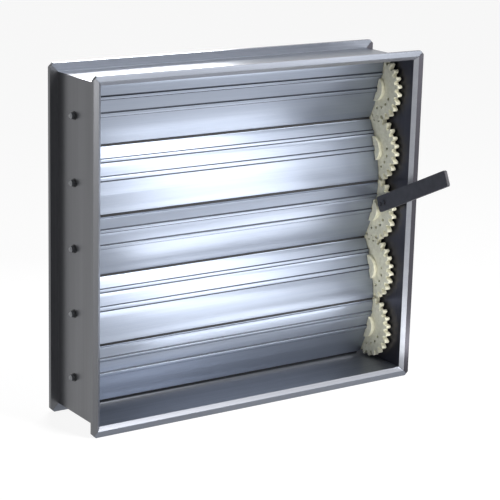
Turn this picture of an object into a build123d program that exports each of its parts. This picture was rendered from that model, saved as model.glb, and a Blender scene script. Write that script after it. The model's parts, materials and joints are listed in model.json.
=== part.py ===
"""Opposed-blade volume control damper for a rectangular air duct.

A mitred frame of extruded aluminium holds five extruded blades. A moulded gear on one end of each
blade meshes with its neighbours, so that one hand lever turns all the blades.

Axes: X runs along the blades, -Y is the front, where the hand works the lever, and Z is up.
The origin is on the centre line of the duct, at the axis of the middle blade.
Lengths are in millimetres and angles in degrees.
"""

from build123d import *

import os
from math import acos, cos, pi, radians, sin, sqrt, tan

# ---------------------------------------------------------------- driving dimensions
blade_count = 5
blade_pitch = 100.0          # between blade axes, and so the pitch diameter of the gears
duct_width = 564.0           # clear opening along X
frame_depth = 138.0          # along the air stream
axis_setback = 12.0          # of the blade axes behind the middle of the frame's depth
edge_gap = 5.0               # beyond the outer blades' half pitch, above and below
rest_tilt = 17.0             # how far the blades stand open as drawn

# frame extrusion
web_wall = 2.0
flange_reach = 15.0          # from the edge of the opening to the outer edge of the flange
flange_depth = 6.5           # thickness of the hollow flange along the duct
flange_bevel = 6.0           # lead-in round the opening
flange_wall = 1.4
corner_snip = 6.0            # tip cut off each outer corner of a flange

# corner keys, pressed into the hollow flanges
key_arm = 38.0
key_inner = 7.0              # from the edge of the opening to the key's inner edge
key_snip_margin = 0.5

# blade extrusion
blade_thickness = 12.0       # at the axis
blade_edge = 4.0             # where the body ends and the lip begins
blade_wall = 1.3
lip_overlap = 3.0            # between neighbouring lips when shut
lip_length = 4.5
lip_thickness = 1.5
spine_half = 8.0             # solid to each side of the axis, round the bore
spine_rib_width = 8.0        # rib over the axis
spine_rib_height = 2.2
edge_rib_width = 6.0         # rib between the axis and the lip
edge_rib_height = 2.0
edge_rib_offset = 27.0
rib_sink = 1.5               # how far a rib reaches down into the body
rib_flank_angle = 70.0

# gear
tooth_count = 24
tooth_sink = 1.0             # how far a tooth's foot reaches into the gear's body
pressure_angle = 20.0
addendum_share = 0.84        # of the module
dedendum_share = 1.10
backlash = 0.45              # along the pitch circle
gear_width = 9.0
gear_gap = 3.0               # from the frame's web to the back of the gear
boss_radius = 20.5
boss_height = 6.5            # of the two half-moons that grip the blade
slot_clearance = 0.15        # round the blade, between the half-moons
blade_end_gap = 1.0          # from the blade's end to the face of the gear
hole_count = 4               # in a row beside one half-moon
hole_radius = 2.4
hole_circle_radius = 33.0
hole_start_angle = -8.0      # above the blade's normal
hole_step_angle = -21.0
spigot_length = 16.0
journal_radius = 7.0
journal_stand_out = 3.0      # past the outside of the frame's web

# pivot pins and bushes
pin_radius = 5.0
pin_grip = 30.0              # length inside the blade
pin_stand_out = 8.0          # past the outside of the frame's web
pin_chamfer = 1.8            # off the end that shows
pin_chamfer_length = 2.2
running_clearance = 0.05
bush_wall = 1.5
bush_flange_width = 2.5
bush_flange_thickness = 1.5
bush_stand_out = 1.0
end_float = 0.5              # between the blade's end and the bush beside it

# hand lever
lever_angle = 42.0           # above the blade's normal
lever_start = 24.5           # from the axis to the near end
lever_reach = 208.0          # from the axis to the tip
lever_width = 26.0
lever_thickness = 5.0
lever_corner = 3.5
screw_inset = 5.5            # from the near end of the lever to the first screw
screw_spacing = 11.0
screw_radius = 2.0
screw_head_radius = 3.8
screw_head_height = 2.2
screw_bite = 7.0             # length inside the gear
screw_slot_width = 1.0
screw_slot_depth = 1.0

# ---------------------------------------------------------------- worked-out sizes and places
duct_height = blade_count * blade_pitch + 2 * edge_gap
half_width = duct_width / 2
half_height = duct_height / 2
half_depth = frame_depth / 2
frame_middle = -axis_setback
blade_heights = [blade_pitch * ((blade_count - 1) / 2 - row) for row in range(blade_count)]
middle_row = blade_count // 2

lip_reach = (blade_pitch + lip_overlap) / 2
body_reach = lip_reach - lip_length
face_bulge = (blade_thickness - blade_edge) / 2
face_radius = (body_reach**2 + face_bulge**2) / (2 * face_bulge)

gear_back = half_width - gear_gap
gear_face = gear_back - gear_width
blade_right = gear_face - blade_end_gap
blade_left = -half_width + bush_flange_thickness + end_float

module = blade_pitch / tooth_count
pitch_radius = blade_pitch / 2
base_radius = pitch_radius * cos(radians(pressure_angle))
tip_radius = pitch_radius + addendum_share * module
root_radius = pitch_radius - dedendum_share * module
tooth_phase = 360 / tooth_count / 4   # a quarter of a tooth, so that all the gears are alike

first_screw = lever_start + screw_inset
screw_places = [first_screw, first_screw + screw_spacing]   # from the axis, along the lever


def save(piece, name):
    """Labels a finished piece and writes it to a STEP file of its own."""
    piece.part.label = name
    export_step(piece.part, f"parts/{name}.step")


# ---------------------------------------------------------------- frame
# A member's plane has its origin in the middle of an edge of the opening.
# Its x points out of the duct, its y along the duct and its z along the member.
frame_members = {
    "frame_top": (
        Plane(origin=(0, frame_middle, half_height), x_dir=(0, 0, 1), z_dir=(1, 0, 0)),
        duct_width,
    ),
    "frame_bottom": (
        Plane(origin=(0, frame_middle, -half_height), x_dir=(0, 0, -1), z_dir=(1, 0, 0)),
        duct_width,
    ),
    "frame_right": (
        Plane(origin=(half_width, frame_middle, 0), x_dir=(1, 0, 0), z_dir=(0, 0, 1)),
        duct_height,
    ),
    "frame_left": (
        Plane(origin=(-half_width, frame_middle, 0), x_dir=(-1, 0, 0), z_dir=(0, 0, 1)),
        duct_height,
    ),
}


def flange_sketch(side, inset=0.0):
    """Section of the flange on one side of a member's y, shrunk by inset."""
    face = side * half_depth
    back = face - side * flange_depth
    bevel_end = face - side * flange_bevel
    with BuildSketch(mode=Mode.PRIVATE) as section:
        with BuildLine():
            Polyline(
                (0, back),
                (0, bevel_end),
                (flange_bevel, face),
                (flange_reach, face),
                (flange_reach, back),
                close=True,
            )
        make_face()
        if inset > 0:
            offset(amount=-inset, kind=Kind.INTERSECTION, mode=Mode.REPLACE)
    return section.sketch


def mitre_plane(plane, length, end):
    """The 45 degree cut at one end of a member, facing its waste."""
    corner = plane.from_local_coords((0, 0, end * length / 2))
    return Plane(origin=corner, z_dir=plane.z_dir * end - plane.x_dir)


def snip_plane(plane, length, end):
    """The cut across the outer corner at one end of a member, facing its waste."""
    edge_end = length / 2 + flange_reach - corner_snip
    tip = plane.from_local_coords((flange_reach, 0, end * edge_end))
    return Plane(origin=tip, z_dir=plane.z_dir * end + plane.x_dir)


def make_member(plane, length, hole_radius=0.0):
    """One mitred length of the frame extrusion, drilled for bushes where hole_radius is given."""
    half_cut = length / 2 + flange_reach
    with BuildPart() as member:
        with BuildSketch(plane.offset(-half_cut)):
            with Locations((web_wall / 2, 0)):
                Rectangle(web_wall, frame_depth - 2 * flange_bevel)
            add(flange_sketch(-1))
            add(flange_sketch(1))
        extrude(amount=2 * half_cut)
        with BuildSketch(plane.offset(-half_cut)):
            add(flange_sketch(-1, flange_wall))
            add(flange_sketch(1, flange_wall))
        extrude(amount=2 * half_cut, mode=Mode.SUBTRACT)
        for end in (-1, 1):
            split(bisect_by=mitre_plane(plane, length, end), keep=Keep.BOTTOM)
            split(bisect_by=snip_plane(plane, length, end), keep=Keep.BOTTOM)
        if hole_radius > 0:
            web_face = Plane(origin=(plane.origin.X, 0, 0), x_dir=plane.z_dir, z_dir=plane.x_dir)
            with BuildSketch(web_face):
                with Locations([(height, 0) for height in blade_heights]):
                    Circle(hole_radius)
            extrude(amount=web_wall, mode=Mode.SUBTRACT)
    return member


def make_corner_key(right, up, side):
    """The flat L inside two flanges at a corner; right, up and side are -1 or 1 along X, Z and Y."""
    outer = flange_reach - flange_wall
    snip = corner_snip - 2 * flange_wall + key_snip_margin
    corner_points = [
        (outer, -key_arm),
        (outer, outer - snip),
        (outer - snip, outer),
        (-key_arm, outer),
        (-key_arm, key_inner),
        (key_inner, key_inner),
        (key_inner, -key_arm),
    ]
    placed = [(right * (half_width + x), up * (half_height + z)) for x, z in corner_points]
    thickness = flange_depth - 2 * flange_wall
    outer_face = frame_middle + side * (half_depth - flange_wall)
    with BuildPart() as key:
        with BuildSketch(Plane.XZ.offset(-outer_face)):
            with BuildLine():
                Polyline(*placed, close=True)
            make_face()
        extrude(amount=side * thickness)
    return key


# ---------------------------------------------------------------- blades
def blade_plane(row):
    """Plane across a blade at its axis: x towards its upper lip, y out of its front, z along it."""
    turn = radians(rest_tilt if row % 2 == 0 else -rest_tilt)
    return Plane(
        origin=(0, 0, blade_heights[row]),
        x_dir=(0, -sin(turn), cos(turn)),
        z_dir=(1, 0, 0),
    )


def face_height(along):
    """Height of the crowned face above the blade's middle plane, at a distance from the axis."""
    return blade_thickness / 2 - face_radius + sqrt(face_radius**2 - along**2)


def blade_body_sketch(shrink=0.0):
    """Crowned section of the blade's body, moved inward by shrink."""
    edge = blade_edge / 2 - shrink
    crown = blade_thickness / 2 - shrink
    reach = body_reach - shrink
    with BuildSketch(mode=Mode.PRIVATE) as section:
        with BuildLine():
            front = ThreePointArc((-reach, edge), (0, crown), (reach, edge))
            back = ThreePointArc((reach, -edge), (0, -crown), (-reach, -edge))
            Line(front @ 1, back @ 0)
            Line(back @ 1, front @ 0)
        make_face()
    return section.sketch


def make_blade(row):
    """A hollow extruded blade with two ribs and a lip to each side, bored along its axis."""
    lip_middle = blade_edge / 2 - lip_thickness / 2
    with BuildPart() as blade:
        with BuildSketch(blade_plane(row).offset(blade_left)):
            add(blade_body_sketch())
            add(blade_body_sketch(blade_wall), mode=Mode.SUBTRACT)
            Rectangle(2 * spine_half, blade_thickness - blade_wall)
            for side in (1, -1):
                turn = 0 if side > 0 else 180
                spine_foot = blade_thickness / 2 - rib_sink
                spine_size = spine_rib_height + rib_sink
                with Locations((0, side * (spine_foot + spine_size / 2))):
                    Trapezoid(spine_rib_width, spine_size, rib_flank_angle, rotation=turn)
                edge_foot = face_height(edge_rib_offset) - rib_sink / 2
                edge_size = edge_rib_height + rib_sink / 2
                with Locations((side * edge_rib_offset, side * (edge_foot + edge_size / 2))):
                    Trapezoid(edge_rib_width, edge_size, rib_flank_angle, rotation=turn)
                with Locations((-side * (lip_reach - lip_length), side * lip_middle)):
                    Rectangle(2 * lip_length, lip_thickness)
            Circle(pin_radius, mode=Mode.SUBTRACT)
        extrude(amount=blade_right - blade_left)
    return blade


# ---------------------------------------------------------------- pivot pins and bushes
def make_pin(row):
    """The pivot pin in the plain end of a blade, with its chamfered end outside the frame."""
    tip = -half_width - web_wall - pin_stand_out
    length = blade_left + pin_grip - tip
    place = Plane(origin=(tip, 0, blade_heights[row]), z_dir=(1, 0, 0))
    with BuildPart() as pin:
        with BuildSketch(place):
            Circle(pin_radius)
        extrude(amount=length)
        end = pin.faces().sort_by(Axis.X)[0]
        chamfer(end.edges(), length=pin_chamfer_length, length2=pin_chamfer, reference=end)
    return pin


def make_bush(row):
    """The flanged bush that a pin turns in, pressed into the left upright of the frame."""
    bore = pin_radius + running_clearance
    sleeve = bore + bush_wall
    inside = Plane(
        origin=(-half_width + bush_flange_thickness, 0, blade_heights[row]), z_dir=(-1, 0, 0)
    )
    with BuildPart() as bush:
        with BuildSketch(inside):
            Circle(sleeve + bush_flange_width)
        extrude(amount=bush_flange_thickness)
        with BuildSketch(inside):
            Circle(sleeve)
        extrude(amount=bush_flange_thickness + web_wall + bush_stand_out)
        with BuildSketch(inside):
            Circle(bore)
        extrude(amount=bush_flange_thickness + web_wall + bush_stand_out, mode=Mode.SUBTRACT)
    return bush


# ---------------------------------------------------------------- gears
def involute(angle):
    return tan(angle) - angle


def flank_point(radius, hand):
    """Point on the involute flank of a tooth that stands along x; hand is -1 or 1."""
    half_at_pitch = (pi * module / 2 - backlash / 2) / 2 / pitch_radius
    here = acos(min(base_radius / radius, 1))
    turn = half_at_pitch + involute(radians(pressure_angle)) - involute(here)
    return (radius * cos(turn), hand * radius * sin(turn))


def tooth_sketch():
    """One involute tooth along x, with its root sunk into the body of the gear."""
    middle_radius = (base_radius + tip_radius) / 2
    with BuildSketch(mode=Mode.PRIVATE) as tooth:
        with BuildLine():
            foot = root_radius - tooth_sink
            foot_half = flank_point(base_radius, 1)[1]
            for hand in (-1, 1):
                Line((foot, hand * foot_half), flank_point(base_radius, hand))
                ThreePointArc(
                    flank_point(base_radius, hand),
                    flank_point(middle_radius, hand),
                    flank_point(tip_radius, hand),
                )
            Line(flank_point(tip_radius, -1), flank_point(tip_radius, 1))
            Line((foot, -foot_half), (foot, foot_half))
        make_face()
    return tooth.sketch


def blade_slot_sketch(gap):
    """The straight slot that takes the end of a blade and its spine ribs, with gap all round."""
    with BuildSketch(mode=Mode.PRIVATE) as slot:
        Rectangle(2 * (boss_radius + gap), blade_thickness + 2 * gap)
        Rectangle(spine_rib_width + 2 * gap, blade_thickness + 2 * (spine_rib_height + gap))
    return slot.sketch


def make_gear(row):
    """A gear with half-moons that grip the blade, a spigot in its bore and a journal in the frame."""
    plane = blade_plane(row)
    with BuildPart() as gear:
        with BuildSketch(plane.offset(gear_face)):
            Circle(root_radius)
            with PolarLocations(0, tooth_count, start_angle=tooth_phase):
                add(tooth_sketch())
        extrude(amount=gear_width)
        # half-moons, with the blade's slot between them
        with BuildSketch(plane.offset(gear_face - boss_height)):
            Circle(boss_radius)
            add(blade_slot_sketch(slot_clearance), mode=Mode.SUBTRACT)
        extrude(amount=boss_height)
        # a row of small holes beside the front half-moon
        with BuildSketch(plane.offset(gear_face)):
            for hole in range(hole_count):
                angle = 90 - hole_start_angle - hole * hole_step_angle
                with PolarLocations(hole_circle_radius, 1, start_angle=angle):
                    Circle(hole_radius)
        extrude(amount=gear_width, mode=Mode.SUBTRACT)
        if row == middle_row:
            with BuildSketch(lever_plane(gear_face)):
                with Locations([(place, 0) for place in screw_places]):
                    Circle(screw_radius)
            extrude(amount=screw_bite, mode=Mode.SUBTRACT)
        # spigot and journal
        with BuildSketch(plane.offset(blade_right - spigot_length)):
            Circle(pin_radius)
        extrude(amount=spigot_length + blade_end_gap)
        with BuildSketch(plane.offset(gear_back)):
            Circle(journal_radius)
        extrude(amount=gear_gap + web_wall + journal_stand_out)
    return gear


# ---------------------------------------------------------------- hand lever
def lever_plane(along_blade):
    """Plane across the middle axis at a place along X, with its x along the lever."""
    rise = radians(lever_angle - rest_tilt)
    return Plane(
        origin=(along_blade, 0, blade_heights[middle_row]),
        x_dir=(0, -cos(rise), sin(rise)),
        z_dir=(1, 0, 0),
    )


def make_lever():
    """The flat bar that is screwed to the middle gear beside its half-moons."""
    length = lever_reach - lever_start
    with BuildPart() as lever:
        with BuildSketch(lever_plane(gear_face - lever_thickness)) as bar:
            with Locations((lever_start + length / 2, 0)):
                Rectangle(length, lever_width)
            fillet(bar.vertices(), radius=lever_corner)
            with Locations([(place, 0) for place in screw_places]):
                Circle(screw_radius, mode=Mode.SUBTRACT)
        extrude(amount=lever_thickness)
    return lever


def make_screw(place):
    """A slotted pan-head screw through the lever into the gear."""
    seat = gear_face - lever_thickness
    with BuildPart() as screw:
        with BuildSketch(lever_plane(seat)):
            with Locations((place, 0)):
                Circle(screw_head_radius)
        extrude(amount=-screw_head_height)
        with BuildSketch(lever_plane(seat)):
            with Locations((place, 0)):
                Circle(screw_radius)
        extrude(amount=lever_thickness + screw_bite)
        with BuildSketch(lever_plane(seat - screw_head_height)):
            with Locations((place, 0)):
                Rectangle(2 * screw_head_radius, screw_slot_width)
        extrude(amount=screw_slot_depth, mode=Mode.SUBTRACT)
    return screw


# ---------------------------------------------------------------- every piece in its own file
os.makedirs("parts", exist_ok=True)

bearing_holes = {
    "frame_left": pin_radius + running_clearance + bush_wall,
    "frame_right": journal_radius + running_clearance,
}
for name, (plane, length) in frame_members.items():
    save(make_member(plane, length, bearing_holes.get(name, 0.0)), name)

for depth_name, side in (("front", -1), ("rear", 1)):
    for height_name, up in (("bottom", -1), ("top", 1)):
        for width_name, right in (("left", -1), ("right", 1)):
            save(make_corner_key(right, up, side), f"corner_key_{depth_name}_{height_name}_{width_name}")

for row in range(blade_count):
    number = row + 1
    save(make_blade(row), f"blade_{number}")
    save(make_gear(row), f"gear_{number}")
    save(make_pin(row), f"pin_{number}")
    save(make_bush(row), f"bush_{number}")

save(make_lever(), "hand_lever")
for number, place in enumerate(screw_places, start=1):
    save(make_screw(place), f"lever_screw_{number}")
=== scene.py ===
# %% [markdown]
# # A volume control damper
#
# A damper stands in an air duct and sets how much air passes. This one is a frame of extruded
# aluminium with five blades that turn together, the ivory gears that link them and the dark
# lever that sets them.
#
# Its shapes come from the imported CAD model. They could be modelled again here, but then they
# would no longer be the shapes that turn and fit, so this lesson keeps them and gives them soft
# edges, real finishes and a quiet studio. Every size is in metres. X runs along the blades, Y
# runs from the front to the back, and Z is up.

# %% Load the model
import json
import math

import bpy
from mathutils import Matrix, Vector


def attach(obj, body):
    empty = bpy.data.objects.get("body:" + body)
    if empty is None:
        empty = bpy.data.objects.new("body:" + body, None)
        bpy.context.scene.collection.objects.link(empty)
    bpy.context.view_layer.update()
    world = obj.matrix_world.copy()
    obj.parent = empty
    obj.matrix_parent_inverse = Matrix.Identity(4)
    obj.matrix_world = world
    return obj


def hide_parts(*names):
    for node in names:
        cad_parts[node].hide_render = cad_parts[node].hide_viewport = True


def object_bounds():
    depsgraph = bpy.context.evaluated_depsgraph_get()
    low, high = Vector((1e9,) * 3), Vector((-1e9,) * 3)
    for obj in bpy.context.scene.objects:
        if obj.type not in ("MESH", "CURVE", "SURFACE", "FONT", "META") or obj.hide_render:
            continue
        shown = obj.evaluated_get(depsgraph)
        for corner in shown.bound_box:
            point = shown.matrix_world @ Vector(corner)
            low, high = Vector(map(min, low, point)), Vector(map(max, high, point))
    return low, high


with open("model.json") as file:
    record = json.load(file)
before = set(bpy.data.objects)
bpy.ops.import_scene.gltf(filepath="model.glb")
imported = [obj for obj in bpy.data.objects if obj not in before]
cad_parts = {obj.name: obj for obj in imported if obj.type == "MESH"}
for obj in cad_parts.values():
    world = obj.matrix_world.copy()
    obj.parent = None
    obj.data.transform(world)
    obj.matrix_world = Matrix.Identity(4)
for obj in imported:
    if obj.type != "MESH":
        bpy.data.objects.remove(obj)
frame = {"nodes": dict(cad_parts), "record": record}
record = frame["record"]
cad_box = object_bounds()
print("the model's box:", cad_box)

# %% [markdown]
# ## The camera
#
# The damper is seen from its front, a little from the left and from above, through a long lens
# that keeps its edges nearly parallel. The camera could be aimed with a Track To constraint, but
# a constraint keeps it level, and this one has a small roll. A camera looks along its own -Z, so
# its turn is built from three directions instead: right, up and away from the damper.

# %% Camera
aim = Vector((0.0299, 0.0, -0.0414))
camera_distance = 2.831
camera_azimuth = math.radians(34.15)
camera_elevation = math.radians(14.87)
camera_roll = math.radians(1.50)
camera_lens = 129.1
camera_sensor = 36.0

away = Vector((
    -math.sin(camera_azimuth) * math.cos(camera_elevation),
    -math.cos(camera_azimuth) * math.cos(camera_elevation),
    math.sin(camera_elevation),
))
level_right = Vector((0, 0, 1)).cross(away).normalized()
level_up = away.cross(level_right)
right = level_right * math.cos(camera_roll) + level_up * math.sin(camera_roll)
up = away.cross(right)

bpy.ops.object.camera_add(location=aim + away * camera_distance)
camera = bpy.context.object
camera.name = "camera"
camera.rotation_euler = Matrix((right, up, away)).transposed().to_euler()
camera.data.lens = camera_lens
camera.data.sensor_width = camera_sensor
bpy.context.scene.camera = camera
bpy.context.scene.view_settings.view_transform = "Standard"
print("camera at", tuple(round(value, 3) for value in camera.location))

# %% [markdown]
# ## Small helpers
#
# A material is a tree of nodes and the wires between them. It could be put together by hand in
# the shader editor. Written out, each finish below would be a long list of the same few steps,
# so the steps are made once here: add a node, wire it up, make a noise, tint the shader with it
# and raise the surface by it.

# %% Nodes and wires
def new_material(name):
    """A material with an empty Principled shader, and that shader."""
    material = bpy.data.materials.new(name)
    material.use_nodes = True
    return material, material.node_tree.nodes["Principled BSDF"]


def add_node(material, kind, **values):
    """Adds a node and sets its inputs by name, with spaces written as underscores."""
    node = material.node_tree.nodes.new(kind)
    for key, value in values.items():
        node.inputs[key.replace("_", " ")].default_value = value
    return node


def wire(material, start, end):
    """Joins an output to an input."""
    material.node_tree.links.new(start, end)


print("node helpers ready")

# %% [markdown]
# A noise has no direction of its own. Stretched by a Mapping node it turns into lines, rings or
# grain. It reads Object coordinates, which stay with the piece, so a pattern doesn't slide when a
# blade turns.

# %% Noise, tint and relief
def noise(material, scale, detail, roughness=0.5):
    """A noise with its own fineness along X, Y and Z."""
    places = add_node(material, "ShaderNodeTexCoord")
    stretch = add_node(material, "ShaderNodeMapping", Scale=scale)
    wire(material, places.outputs["Object"], stretch.inputs["Vector"])
    texture = add_node(
        material, "ShaderNodeTexNoise", Scale=1.0, Detail=detail, Roughness=roughness
    )
    wire(material, stretch.outputs["Vector"], texture.inputs["Vector"])
    return texture.outputs["Fac"]


def tint(material, shader, source, start, dark, end, light):
    """Colours the shader from dark, where source is start, to light, where it is end."""
    ramp = add_node(material, "ShaderNodeValToRGB")
    first, last = ramp.color_ramp.elements
    first.position = start
    first.color = (*dark, 1)
    last.position = end
    last.color = (*light, 1)
    wire(material, source, ramp.inputs["Fac"])
    wire(material, ramp.outputs["Color"], shader.inputs["Base Color"])


def relief(material, shader, source, strength, height):
    """Gives the shader a shallow relief that follows source."""
    bump = add_node(material, "ShaderNodeBump", Strength=strength, Distance=height)
    wire(material, source, bump.inputs["Height"])
    wire(material, bump.outputs["Normal"], shader.inputs["Normal"])


print("noise, tint and relief ready")

# %% [markdown]
# ## Drawn aluminium
#
# A bar of extruded aluminium has fine lines all along it, left by the die. They could be cut into
# the mesh, but they are far finer than any face. Here a noise is stretched until it runs in lines
# along one axis. It moves the colour and the roughness a little and feeds the relief. A broad
# noise, stretched the same way, adds the faint stains of handled metal.

# %% Drawn aluminium
line_fineness = 900.0
line_stretch = 3.0
stain_fineness = 38.0
stain_stretch = 2.2
stain_share = 0.55
# The blended noise stays mostly between these two values.
blend_low = 0.3
blend_high = 0.7
gloss_swing = 0.035
line_height = 0.0004
metal_share = 0.85
along_x = 0
along_z = 2


def along(axis, across, lengthways):
    """A pattern's fineness along X, Y and Z when it is drawn out along one axis."""
    scale = [across, across, across]
    scale[axis] = lengthways
    return scale


def drawn_aluminium(name, axis, dark, light, roughness, line_depth):
    """Aluminium with draw lines along one axis, from a dark to a light colour."""
    material, shader = new_material(name)
    lines = noise(material, along(axis, line_fineness, line_stretch), 3.0, 0.55)
    stains = noise(material, along(axis, stain_fineness, stain_stretch), 4.0, 0.6)
    blend = add_node(material, "ShaderNodeMix", Factor=stain_share)
    wire(material, lines, blend.inputs["A"])
    wire(material, stains, blend.inputs["B"])
    mixed = blend.outputs["Result"]
    tint(material, shader, mixed, 0.36, dark, 0.64, light)
    gloss = add_node(
        material, "ShaderNodeMapRange", From_Min=blend_low, From_Max=blend_high,
        To_Min=roughness + gloss_swing, To_Max=roughness - gloss_swing,
    )
    wire(material, mixed, gloss.inputs["Value"])
    wire(material, gloss.outputs["Result"], shader.inputs["Roughness"])
    relief(material, shader, lines, line_depth, line_height)
    shader.inputs["Metallic"].default_value = metal_share
    return material


# %% [markdown]
# The blades are bright and a little blue. The frame's level bars and its left upright are greyer.
# The left upright is also a little darker than the level bars: that is painted shade. The right
# upright is the same bar as the left one, but it is seen in shade. That could be left to the
# lamps, but they also light the blades beside it, so its shade is painted into a darker colour of
# its own. Two colours are for parts of a piece: a dark one, painted shade, for the foot of each
# rib on the blades, and a bright one, a painted highlight, for the bevels of the frame.

# %% Six aluminium finishes
blade_metal = drawn_aluminium(
    "blade aluminium", along_x,
    dark=(0.265, 0.30, 0.37), light=(0.30, 0.335, 0.405), roughness=0.36, line_depth=0.15,
)
# Painted shade: the thin dark line close beside each rib on the blades.
rib_shade_metal = drawn_aluminium(
    "blade aluminium, painted shade beside the ribs", along_x,
    dark=(0.05, 0.055, 0.07), light=(0.09, 0.10, 0.12), roughness=0.5, line_depth=0.1,
)
rail_metal = drawn_aluminium(
    "frame aluminium, level", along_x,
    dark=(0.150, 0.163, 0.192), light=(0.195, 0.21, 0.242), roughness=0.34, line_depth=0.15,
)
# Painted shade: a little darker than the level bars, though it is the same bar.
post_metal = drawn_aluminium(
    "frame aluminium, upright", along_z,
    dark=(0.125, 0.128, 0.136), light=(0.145, 0.148, 0.158), roughness=0.32, line_depth=0.1,
)
# Painted shade: the right upright is seen in shade, so it is much darker than the left one.
right_shade_metal = drawn_aluminium(
    "frame aluminium, right upright, painted shade", along_z,
    dark=(0.050, 0.048, 0.058), light=(0.062, 0.060, 0.070), roughness=0.3, line_depth=0.1,
)
# Painted highlight: the frame's bevels catch more light than the rest of a bar.
bevel_highlight_metal = drawn_aluminium(
    "bevel, painted highlight", along_x,
    dark=(0.25, 0.26, 0.29), light=(0.32, 0.33, 0.36), roughness=0.34, line_depth=0.1,
)
aluminium = (blade_metal, rib_shade_metal, rail_metal, post_metal, right_shade_metal, bevel_highlight_metal)
print("aluminium:", [material.name for material in aluminium])

# %% [markdown]
# ## Nylon
#
# The gears are moulded in natural ivory nylon and the bushes in a dark one. A plain colour would
# look like card. A soft cloudy noise gives the colour its unevenness, and a much finer one gives
# the relief the grain of the mould.

# %% Moulded nylon
def moulded_nylon(name, dark, light, roughness):
    """Nylon that is cloudy in its colour and grained on its surface."""
    material, shader = new_material(name)
    clouds = noise(material, (160.0, 160.0, 160.0), 5.0, 0.65)
    tint(material, shader, clouds, 0.32, dark, 0.66, light)
    grain = noise(material, (1500.0, 1500.0, 1500.0), 2.0)
    relief(material, shader, grain, 0.25, 0.0003)
    shader.inputs["Roughness"].default_value = roughness
    return material


gear_nylon = moulded_nylon("ivory nylon", (0.66, 0.64, 0.48), (0.82, 0.80, 0.64), 0.42)
bush_nylon = moulded_nylon("dark nylon", (0.015, 0.016, 0.018), (0.03, 0.032, 0.036), 0.45)
print("nylon:", gear_nylon.name, bush_nylon.name)

# %% [markdown]
# ## Steel
#
# The pins are turned in a lathe, which leaves rings round their axis. The pins lie along X, so a
# noise that changes fast along X and slowly across it makes those rings. The lever's screws and
# the corner keys are zinc plated, duller and darker, and take the same steps with other values.

# %% Turned steel
def turned_steel(name, dark, light, roughness):
    """Steel with fine rings round the X axis."""
    material, shader = new_material(name)
    rings = noise(material, (2200.0, 260.0, 260.0), 3.0)
    tint(material, shader, rings, 0.35, dark, 0.65, light)
    relief(material, shader, rings, 0.2, 0.0002)
    shader.inputs["Metallic"].default_value = 1.0
    shader.inputs["Roughness"].default_value = roughness
    return material


pin_steel = turned_steel(
    "turned pin steel", (0.13, 0.135, 0.145), (0.20, 0.205, 0.215), 0.22
)
plated_steel = turned_steel(
    "zinc plated steel", (0.06, 0.06, 0.065), (0.09, 0.09, 0.095), 0.45
)
print("steel:", pin_steel.name, plated_steel.name)

# %% [markdown]
# ## Paint, and black strips for the gaps
#
# The lever's charcoal paint has the small dimples of a sprayed coat. The black strips that darken
# the gaps between the blades are painted shade, made by the same steps, only darker and duller.

# %% Sprayed paint
def sprayed_paint(name, dark, light, roughness):
    """A dull dimpled coat, slightly uneven in its colour."""
    material, shader = new_material(name)
    patches = noise(material, (90.0, 90.0, 90.0), 4.0)
    tint(material, shader, patches, 0.3, dark, 0.7, light)
    dimples = noise(material, (700.0, 700.0, 700.0), 2.0)
    relief(material, shader, dimples, 0.3, 0.0004)
    shader.inputs["Roughness"].default_value = roughness
    return material


# Painted shade: near black, for the strips in the gaps between the blades.
gap_shade_black = sprayed_paint(
    "black, painted shade of the gaps", (0.008, 0.008, 0.010), (0.016, 0.016, 0.019), 0.6
)
lever_paint = sprayed_paint(
    "charcoal paint", (0.030, 0.030, 0.036), (0.046, 0.045, 0.054), 0.52
)
print("paint and rubber:", lever_paint.name, gap_shade_black.name)

# %% [markdown]
# ## Soft edges
#
# No sawn or moulded edge is perfectly sharp, and a thin bright line along an edge is what makes
# metal look real. A Bevel node could fake it in the material, but the mesh would stay sharp, so
# the edges are rounded in the mesh. A CAD node's mesh is loose triangles: a copy of it is merged,
# its flat triangles are dissolved into whole faces, and a bevel rounds every edge that turns
# sharply.
#
# Smooth shading bends the light across a large flat face that ends in a small rounded one. A
# Weighted Normal modifier lets the large faces decide and keeps them flat. The blades go without
# it: their crown is made of many narrow faces, which have to blend into one another.

# %% A merged copy
merge_distance = 0.000002
flat_within = math.radians(0.4)


def merged_copy(node):
    """A copy of a CAD node, selected and active, with whole faces in place of triangles."""
    source = frame["nodes"][node]
    bpy.ops.object.select_all(action="DESELECT")
    piece = source.copy()
    piece.data = source.data.copy()
    piece.name = node + "_finished"
    bpy.context.scene.collection.objects.link(piece)
    piece.parent = None
    piece.matrix_world = Matrix.Identity(4)
    piece.select_set(True)
    bpy.context.view_layer.objects.active = piece
    bpy.ops.object.mode_set(mode="EDIT")
    bpy.ops.mesh.select_all(action="SELECT")
    bpy.ops.mesh.remove_doubles(threshold=merge_distance)
    bpy.ops.mesh.dissolve_limited(angle_limit=flat_within)
    bpy.ops.object.mode_set(mode="OBJECT")
    return piece


print("points within", merge_distance, "are merged")

# %% Soft edges
soften_over = math.radians(28)
smooth_under = math.radians(32)


def soft_copy(node, width, material, segments=2, keep_flats=True):
    """A merged copy of a CAD node with its edges rounded by width, in one material."""
    piece = merged_copy(node)
    bevel = piece.modifiers.new("soft edges", "BEVEL")
    bevel.width = width
    bevel.segments = segments
    bevel.limit_method = "ANGLE"
    bevel.angle_limit = soften_over
    bevel.use_clamp_overlap = True
    bpy.ops.object.modifier_apply(modifier=bevel.name)
    bpy.ops.object.shade_smooth_by_angle(angle=smooth_under)
    if keep_flats:
        flats = piece.modifiers.new("flat faces stay flat", "WEIGHTED_NORMAL")
        flats.weight = 100
        flats.keep_sharp = True
        bpy.ops.object.modifier_apply(modifier=flats.name)
    piece.data.materials.clear()
    piece.data.materials.append(material)
    return piece


print("edges that turn over", round(math.degrees(soften_over)), "degrees are rounded")

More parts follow.
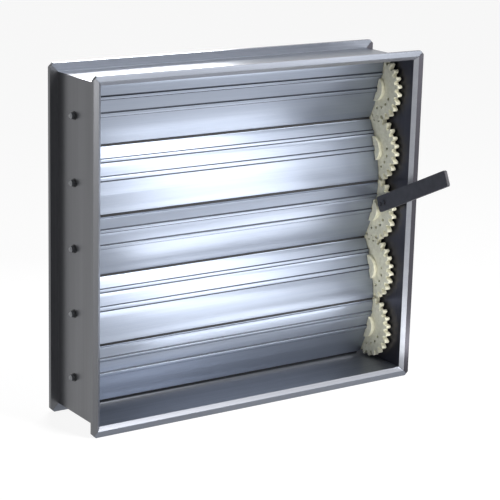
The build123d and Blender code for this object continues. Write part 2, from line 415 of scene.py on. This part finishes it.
# %% [markdown]
# A finished copy stands for its CAD node: the node is hidden, and the copy moves with the node's
# body. The record says which body each node has.

# %% Bodies
body_of = {
    node: body for body, nodes in record["behaviour"]["bodies"].items() for node in nodes
}


def put_in_place(piece, node):
    """Makes a finished piece stand for a CAD node and move with its body."""
    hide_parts(node)
    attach(piece, body_of[node])


# %% [markdown]
# ## The frame
#
# Four lengths of one extrusion meet in mitres at the corners. The level ones carry their draw
# lines along X and the upright ones along Z, so they need two finishes, as real bars do.
#
# The flanges' bevels round the opening catch more light than the rest of a bar, so they get a
# brighter colour: a painted highlight. The bars could be cut into pieces to colour them, but a
# face
# can also be picked by where it points: a bevel at 45 degrees points as much along Y as across it.
# The small faces of the rounded edges are left out by their area. Each flange is hollow, and the
# wall of its hollow behind the bevel points the same way, so it is picked too, but it is out of
# sight. That makes four faces with the painted highlight on each bar.

# %% Frame
bar_edge = 0.00045
bevel_direction = math.sqrt(0.5)
direction_margin = 0.02
smallest_bevel = 0.0001


def paint_bevel_highlights(member):
    """Paints a highlight on a bar's faces that slant by 45 degrees and counts them."""
    member.data.materials.append(bevel_highlight_metal)
    count = 0
    for face in member.data.polygons:
        slanted = abs(abs(face.normal.y) - bevel_direction) < direction_margin
        if slanted and face.area > smallest_bevel:
            face.material_index = 1
            count += 1
    return count


for node, metal in (
    ("frame_top", rail_metal),
    ("frame_bottom", rail_metal),
    ("frame_left", post_metal),
    ("frame_right", right_shade_metal),
):
    member = soft_copy(node, bar_edge, metal)
    highlight_faces = paint_bevel_highlights(member)
    put_in_place(member, node)
    print(node, "finished with", highlight_faces, "bright faces")

# %% [markdown]
# ## The blades
#
# The five blades are one extrusion, 100 mm apart, and each turns opposite to its neighbours. As
# drawn they stand 17 degrees from shut. To work on a blade, two directions are needed: from its
# axis up to its upper lip, and out of its front.

# %% Where the blades are
rows = range(1, 6)
rest_tilt = math.radians(17)
blade_pitch = 0.1


def blade_directions(row):
    """Unit vectors from a blade's axis to its upper lip and out of its front."""
    tilt = rest_tilt if row % 2 == 1 else -rest_tilt
    to_lip = Vector((0, -math.sin(tilt), math.cos(tilt)))
    to_front = Vector((0, -math.cos(tilt), -math.sin(tilt)))
    return to_lip, to_front


def blade_axis(row):
    """A point on a blade's axis; blade 1 is the top one."""
    return Vector((0, 0, blade_pitch * (3 - row)))


print("blade axes at", [round(blade_axis(row).z, 3) for row in rows])

# %% [markdown]
# Two low ribs run along each face of a blade, and close beside a rib lies a thin dark line of
# shade, which is painted. The line could be painted with a texture, but that needs a map of the
# blade. Bisect cuts the blade's faces just beside each rib instead, and the narrow strips between
# a cut and the rib's flat top get a dark colour: painted shade. The back has the same ribs, turned
# half round the axis.

# %% Painted shade beside the ribs
# Each rib's place above the axis, half its top and half its foot, on the blade's front.
blade_ribs = ((0.0, 0.0027, 0.0035), (0.027, 0.0020, 0.0028))
shade_margin = 0.0011
top_margin = 0.00012
# The blade's outer skin lies farther than this from its middle plane near the ribs.
outer_depth = 0.0042
# A face that points more than this along X is one of the blade's ends.
end_direction = 0.5


def cut_beside_ribs(row):
    """Cuts the active blade, in edit mode, along both sides of every rib."""
    to_lip, _ = blade_directions(row)
    for rib, _, half_foot in blade_ribs:
        for edge in (rib + half_foot + shade_margin, rib - half_foot - shade_margin):
            for place in (edge, -edge):
                bpy.ops.mesh.select_all(action="SELECT")
                bpy.ops.mesh.bisect(plane_co=blade_axis(row) + to_lip * place, plane_no=to_lip)


def shade_rib_sides(blade, row):
    """Paints shade on the sides and feet of a blade's ribs, in a dark metal, and counts their
    faces.
    """
    to_lip, to_front = blade_directions(row)
    blade.data.materials.append(rib_shade_metal)
    bpy.ops.object.mode_set(mode="EDIT")
    cut_beside_ribs(row)
    bpy.ops.object.mode_set(mode="OBJECT")
    count = 0
    for face in blade.data.polygons:
        offset = face.center - blade_axis(row)
        side = 1 if offset.dot(to_front) > 0 else -1
        on_skin = abs(offset.dot(to_front)) > outer_depth
        lengthways = abs(face.normal.x) < end_direction
        for rib, half_top, half_foot in blade_ribs:
            from_rib = abs(side * offset.dot(to_lip) - rib)
            beside_rib = half_top + top_margin < from_rib < half_foot + shade_margin
            if on_skin and lengthways and beside_rib:
                face.material_index = 1
                count += 1
    return count


print("ribs on each face:", len(blade_ribs))

# %% Blades
blade_edge = 0.0003

for row in rows:
    node = f"blade_{row}"
    blade = soft_copy(node, blade_edge, blade_metal, keep_flats=False)
    # The dark strips beside the ribs are painted shade.
    shaded_faces = shade_rib_sides(blade, row)
    put_in_place(blade, node)
    print(node, "finished with", shaded_faces, "dull faces")

# %% [markdown]
# ## Black strips in the gaps
#
# A black strip lies over the upper lip of each blade, and two more lie along the inside of the
# frame's top and bottom, just clear of the outer blades' sweep. They narrow the gaps that air
# would
# slip through, and they are painted shade: they give the black lines between the blades. A strip
# could be a curve with a bevel, but it is straight, so a cube is scaled to its length and its
# edges are rounded.

# %% One strip
strip_edge = 0.0006
strip_segments = 3
strip_smooth_under = math.radians(40)


def shade_strip(name, ends, low, high, origin, to_lip, to_front):
    """A black strip along X, painted shade for a gap; low and high are its corners along to_lip
    and to_front.
    """
    bpy.ops.object.select_all(action="DESELECT")
    bpy.ops.mesh.primitive_cube_add(size=1.0)
    strip = bpy.context.object
    strip.name = name
    size = (ends[1] - ends[0], high[0] - low[0], high[1] - low[1])
    strip.data.transform(Matrix.Diagonal((*size, 1.0)))
    middle = (
        origin
        + Vector(((ends[0] + ends[1]) / 2, 0, 0))
        + to_lip * (low[0] + high[0]) / 2
        + to_front * (low[1] + high[1]) / 2
    )
    turned = Matrix((Vector((1, 0, 0)), to_lip, to_front)).transposed().to_4x4()
    strip.data.transform(Matrix.Translation(middle) @ turned)
    bevel = strip.modifiers.new("rounded edges", "BEVEL")
    bevel.width = strip_edge
    bevel.segments = strip_segments
    bpy.ops.object.modifier_apply(modifier=bevel.name)
    bpy.ops.object.shade_smooth_by_angle(angle=strip_smooth_under)
    strip.data.materials.append(gap_shade_black)
    return strip


print("strips have edges rounded by", strip_edge)

# %% Seven strips
# These strips are painted shade for the gaps between the blades and along the frame.
blade_strip_ends = (-0.2795, 0.2685)
blade_strip_low = (0.0482, -0.0023)
blade_strip_high = (0.0527, -0.0002)
frame_strip_ends = (-0.2815, 0.2665)
frame_strip_low = (0.2494, 0.0195)
frame_strip_high = (0.2551, 0.0235)

for row in rows:
    strip = shade_strip(
        f"gap_shade_{row}", blade_strip_ends, blade_strip_low, blade_strip_high,
        blade_axis(row), *blade_directions(row),
    )
    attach(strip, f"blade_{row}")

for name, side in (("top_gap_shade", 1), ("bottom_gap_shade", -1)):
    strip = shade_strip(
        name, frame_strip_ends, frame_strip_low, frame_strip_high,
        Vector((0, 0, 0)), Vector((0, 0, side)), Vector((0, -side, 0)),
    )
    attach(strip, "frame")
print("seals laid:", len(rows) + 2)

# %% [markdown]
# ## Gears
#
# The gears are mouldings, so every edge of their teeth and of the half-moons that hold the blade
# is a little round. Teeth could be arrayed round a disc, but the CAD model's teeth are true
# involutes that mesh, and only their edges are softened.

# %% Gears
gear_edge = 0.0004

for row in rows:
    node = f"gear_{row}"
    put_in_place(soft_copy(node, gear_edge, gear_nylon), node)
print("gears finished:", len(rows))

# %% [markdown]
# ## The lever and its screws
#
# The lever is a flat bar with thick paint, which rounds its edges more than those of bare metal,
# so it gets the widest bevel and one more segment. The two screws are small and get a fine one.

# %% Lever and screws
lever_edge = 0.0008
screw_edge = 0.00025

put_in_place(soft_copy("hand_lever", lever_edge, lever_paint, segments=3), "hand_lever")
for number in (1, 2):
    node = f"lever_screw_{number}"
    put_in_place(soft_copy(node, screw_edge, plated_steel), node)
print("lever and screws finished")

# %% [markdown]
# ## Pins, bushes and corner keys
#
# The pins' ends show on the left outside, each in its dark bush. The keys that join the frame's
# mitres are hidden inside the flanges, so they stay as they are and only get the right metal.

# %% Pins, bushes and keys
pin_edge = 0.0002

for row in rows:
    put_in_place(soft_copy(f"pin_{row}", pin_edge, pin_steel), f"pin_{row}")
    put_in_place(soft_copy(f"bush_{row}", pin_edge, bush_nylon), f"bush_{row}")

for node, shape in frame["nodes"].items():
    if node.startswith("corner_key"):
        for place in shape.material_slots:
            place.material = plated_steel
print("small parts finished")

# %% [markdown]
# ## The studio floor
#
# The floor is pale and plain. A strongly lit floor would look white, but it would throw all that
# light back onto the damper. So the floor glows, and only where it is looked at: by the camera,
# in a reflection or through something clear. The glow is mixed with a plain pale shader, which
# takes the damper's soft shadow.

# %% Looked at or not
def seen_directly(tree):
    """One for camera, glossy and see-through rays, and nothing for the rest."""
    path = tree.nodes.new("ShaderNodeLightPath")
    first = tree.nodes.new("ShaderNodeMath")
    first.operation = "MAXIMUM"
    second = tree.nodes.new("ShaderNodeMath")
    second.operation = "MAXIMUM"
    tree.links.new(path.outputs["Is Camera Ray"], first.inputs[0])
    tree.links.new(path.outputs["Is Glossy Ray"], first.inputs[1])
    tree.links.new(first.outputs[0], second.inputs[0])
    tree.links.new(path.outputs["Is Transmission Ray"], second.inputs[1])
    return second.outputs[0]


print("the floor and the world share this test")

# %% Floor
floor_size = 40.0
floor_height = cad_box[0][2]
glow_strength = 1.12
glow_share = 0.8

bpy.ops.object.select_all(action="DESELECT")
bpy.ops.mesh.primitive_plane_add(size=floor_size, location=(0, 0, floor_height))
floor = bpy.context.object
floor.name = "floor"

paper, paper_shader = new_material("pale floor")
paper_shader.inputs["Base Color"].default_value = (0.86, 0.86, 0.86, 1)
paper_shader.inputs["Roughness"].default_value = 0.9
glow = add_node(paper, "ShaderNodeEmission", Color=(1, 1, 1, 1), Strength=glow_strength)
share = add_node(paper, "ShaderNodeMath")
share.operation = "MULTIPLY"
share.inputs[1].default_value = glow_share
mixer = add_node(paper, "ShaderNodeMixShader")
wire(paper, seen_directly(paper.node_tree), share.inputs[0])
wire(paper, share.outputs[0], mixer.inputs["Fac"])
wire(paper, paper_shader.outputs["BSDF"], mixer.inputs[1])
wire(paper, glow.outputs["Emission"], mixer.inputs[2])
surface = paper.node_tree.nodes["Material Output"].inputs["Surface"]
wire(paper, mixer.outputs["Shader"], surface)
floor.data.materials.append(paper)
print("floor at", round(floor_height, 4))

# %% [markdown]
# ## The world
#
# The world is white where it is looked at, and gives everything else a faint even light, so that
# no side of the damper is black. One strength could not do both: a white world would wash out
# the lamps' modelling.

# %% World
even_light = 0.1
white = 1.0

world = bpy.data.worlds.new("studio")
bpy.context.scene.world = world
world.use_nodes = True
sky = world.node_tree.nodes["Background"]
sky.inputs["Color"].default_value = (1, 1, 1, 1)
strength = world.node_tree.nodes.new("ShaderNodeMapRange")
strength.inputs["To Min"].default_value = even_light
strength.inputs["To Max"].default_value = white
world.node_tree.links.new(seen_directly(world.node_tree), strength.inputs["Value"])
world.node_tree.links.new(strength.outputs["Result"], sky.inputs["Strength"])
print("world strength from", even_light, "to", white)

# %% [markdown]
# ## The lamps
#
# Smooth metal shows what it faces, so a lamp is placed where a set of faces mirrors it towards
# the camera. One big lamp would flatten everything; five soft ones each have a task.
#
# - The key lamp stands at the front right, its middle just above the frame. Blades 2 and 4 look
#   up and mirror it.
# - The high lamp gives the plain light from above.
# - The low lamp lies in front of the frame, near the floor, and shines up onto the blades that
#   look down.
# - The rear lamp is mirrored in the frame's top, brightest at the left.
# - The left lamp is weak and lifts the frame's left side.
#
# The camera doesn't see the lamps themselves.

# %% Lamps
def soft_lamp(name, place, size, power, target=(0, 0, 0)):
    """A rectangular lamp at place that looks at target; size is its width and height."""
    bpy.ops.object.light_add(type="AREA", location=place)
    lamp = bpy.context.object
    lamp.name = name
    lamp.data.shape = "RECTANGLE"
    lamp.data.size, lamp.data.size_y = size
    lamp.data.energy = power
    lamp.visible_camera = False
    towards = Vector(target) - Vector(place)
    lamp.rotation_euler = towards.to_track_quat("-Z", "Y").to_euler()
    return lamp


lamps = (
    soft_lamp("key lamp", (0.7, -1.35, 0.37), (1.05, 0.86), 12.5),
    soft_lamp("high lamp", (0.7, -1.8, 1.9), (0.8, 0.8), 52.0),
    soft_lamp("low lamp", (0.2, -0.21, -0.262), (0.6, 0.11), 1.15, (0.2, -0.21, 1.0)),
    soft_lamp("rear lamp", (0.13, 0.62, 0.46), (0.4, 0.26), 6.0, (-0.25, 0.0, 0.26)),
    soft_lamp("left lamp", (-2.2, -2.6, 2.2), (1.2, 1.2), 3.0),
)
print("lamps, in watts:", {lamp.name: round(lamp.data.energy, 2) for lamp in lamps})
